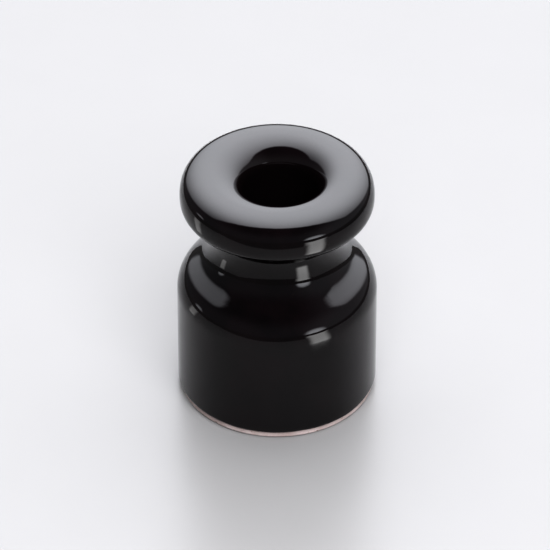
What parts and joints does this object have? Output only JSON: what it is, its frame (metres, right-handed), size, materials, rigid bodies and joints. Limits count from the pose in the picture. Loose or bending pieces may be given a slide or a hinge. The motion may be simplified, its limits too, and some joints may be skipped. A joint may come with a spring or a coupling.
{
  "type": "knob insulator",
  "caption": "Glazed porcelain knob insulator: cylindrical base, sloping shoulder, wire groove and disc head, with a screw bore down the middle.",
  "frame": {"origin": "centre of the base, on the surface that the insulator stands on", "axes": "+Z along the screw bore, from the base to the head; the body is round about Z"},
  "size_m": [0.02, 0.02, 0.0258],
  "materials": {
    "bisque": "matt, bare fired porcelain",
    "black_glaze": "high gloss"
  },
  "bodies": {
    "root": {"porcelain_body": "bisque", "glaze_coat": "black_glaze"}
  },
  "joints": []
}
